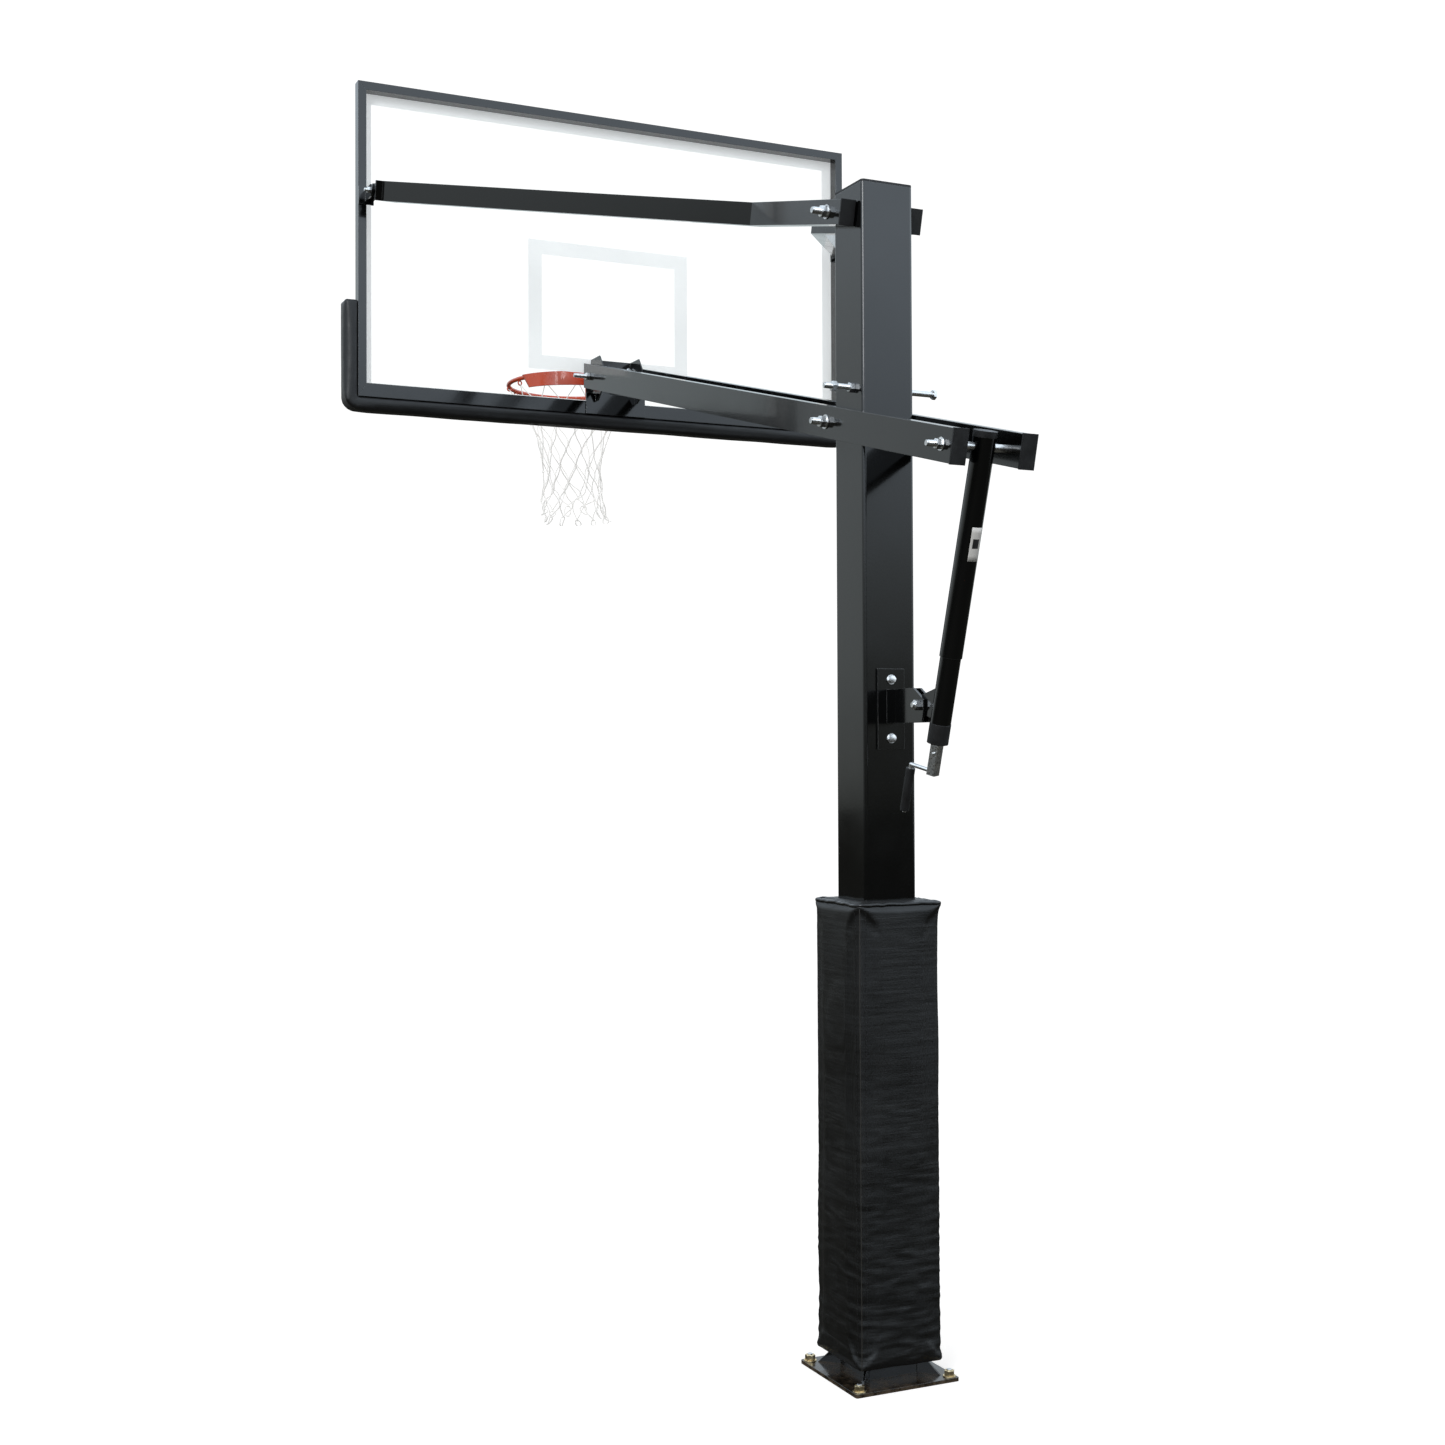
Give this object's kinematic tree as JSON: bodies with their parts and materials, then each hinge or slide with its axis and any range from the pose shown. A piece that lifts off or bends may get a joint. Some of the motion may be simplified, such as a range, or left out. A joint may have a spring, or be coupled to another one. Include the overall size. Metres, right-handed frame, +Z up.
{
  "type": "adjustable basketball hoop",
  "caption": "Bolt-down adjustable basketball hoop: padded square post, parallelogram arms, crank screw jack, framed glass board, sprung rim and net.",
  "frame": {"origin": "centre of the base plate's underside, on the post's axis", "axes": "+Z up, -Y towards the court, +X to the left of someone behind the board"},
  "size_m": [1.931, 3.1062, 4.0141],
  "materials": {
    "powder_black": "gloss powder coat",
    "zinc": "bright zinc plate",
    "gold_zinc": "yellow zinc plate",
    "black_plastic": "matte",
    "plain_steel": "plain",
    "powder_orange": "satin powder coat",
    "clear_glass": "clear polished",
    "black_rubber": "matte",
    "white_print": "gloss ink",
    "black_foam": "satin skin",
    "pad_foam": "open foam",
    "black_vinyl": "satin vinyl cloth",
    "white_cord": "knotted cord"
  },
  "bodies": {
    "post": {"base_plate": "powder_black", "base_gussets": "powder_black", "anchor_studs": "zinc", "anchor_washers": "gold_zinc", "anchor_nuts": "gold_zinc", "post_tube": "powder_black", "post_cap": "black_plastic", "post_pad_foam": "pad_foam", "post_pad_cover": "black_vinyl", "lower_pivot_bolt": "zinc", "upper_pivot_bolt": "zinc", "travel_stop_bolt": "zinc", "post_bolt_nuts": "zinc", "pivot_washers": "zinc", "jack_bracket": "powder_black", "jack_bracket_bolts": "zinc", "jack_pivot_bolt": "zinc"},
    "lower_arms": {"lower_arm_left": "powder_black", "lower_arm_right": "powder_black", "lower_arm_end_caps": "black_plastic", "jack_top_bolt": "zinc", "jack_top_nut": "zinc", "jack_top_sleeves": "zinc"},
    "upper_arms": {"upper_arm_left": "powder_black", "upper_arm_right": "powder_black", "upper_arm_end_caps": "black_plastic"},
    "backboard": {"frame_rail_bottom": "powder_black", "frame_rail_top": "powder_black", "frame_rail_left": "powder_black", "frame_rail_right": "powder_black", "glass_pane": "clear_glass", "glass_seal": "black_rubber", "border_print": "white_print", "target_print": "white_print", "board_pad": "black_foam", "center_mount": "powder_black", "front_pivot_bolt": "zinc", "side_bracket_left": "powder_black", "side_bracket_right": "powder_black", "side_pivot_bolts": "zinc", "rim_mount_plate": "powder_orange", "rim_bolts": "zinc", "rim_hinge_pin": "zinc", "rim_springs": "plain_steel", "rim_spring_studs": "zinc"},
    "rim": {"rim_ring": "powder_orange", "rim_brace": "powder_orange", "rim_neck": "powder_orange", "net": "white_cord"},
    "jack_outer": {"jack_outer_tube": "powder_black", "jack_top_cap": "black_plastic", "drive_tube": "plain_steel", "drive_nut": "plain_steel"},
    "jack_inner": {"jack_inner_tube": "powder_black", "jack_bearing": "black_plastic"},
    "crank": {"lead_screw": "plain_steel", "crank_yoke": "zinc", "crank_cross_pin": "zinc", "crank_rod": "zinc"},
    "grip": {"crank_grip": "black_plastic"}
  },
  "joints": [
    {"name": "arm_lift", "type": "hinge", "parent": "post", "child": "lower_arms", "pos_m": [0, -0.052, 2.503], "axis": [1, 0, 0], "range_deg": [-1.59, 22.99]},
    {"name": "upper_arm_pivot", "type": "hinge", "parent": "post", "child": "upper_arms", "pos_m": [0, -0.032, 3.055], "axis": [1, 0, 0], "range_deg": [-2, 23.5]},
    {"name": "board_level", "type": "hinge", "parent": "lower_arms", "child": "backboard", "pos_m": [0, -1.79007, 2.94506], "axis": [1, 0, 0], "range_deg": [-23.5, 2]},
    {"name": "jack_tilt", "type": "hinge", "parent": "lower_arms", "child": "jack_outer", "pos_m": [0, 0.52173, 2.35708], "axis": [1, 0, 0], "range_deg": [-20, 2]},
    {"name": "jack_extend", "type": "slide", "parent": "jack_outer", "child": "jack_inner", "axis": [0, -0.289, -0.9573], "range_m": [-0.018, 0.24]},
    {"name": "crank_turn", "type": "hinge", "parent": "jack_inner", "child": "crank", "pos_m": [0, 0.28704, 1.57973], "axis": [0, 0.289, 0.9573], "range_deg": [-1100, 14500]},
    {"name": "grip_spin", "type": "hinge", "parent": "crank", "child": "grip", "pos_m": [0.02766, 0.21023, 1.54025], "axis": [0, 0.289, 0.9573], "continuous": true},
    {"name": "rim_breakaway", "type": "hinge", "parent": "backboard", "child": "rim", "pos_m": [0, -1.93026, 3.00006], "axis": [1, 0, 0], "range_deg": [0, 15], "stiffness_Nm_per_rad": 600, "springref_deg": -5.73, "deforming": ["rim_springs"]}
  ],
  "couplings": [
    {"joint": "upper_arm_pivot", "follows": "arm_lift", "ratio": 1},
    {"joint": "board_level", "follows": "arm_lift", "ratio": -1},
    {"joint": "jack_tilt", "follows": "arm_lift", "ratio": -0.8563},
    {"joint": "jack_extend", "follows": "arm_lift", "m_per_rad": 0.5652},
    {"joint": "crank_turn", "follows": "arm_lift", "ratio": 591.88}
  ]
}
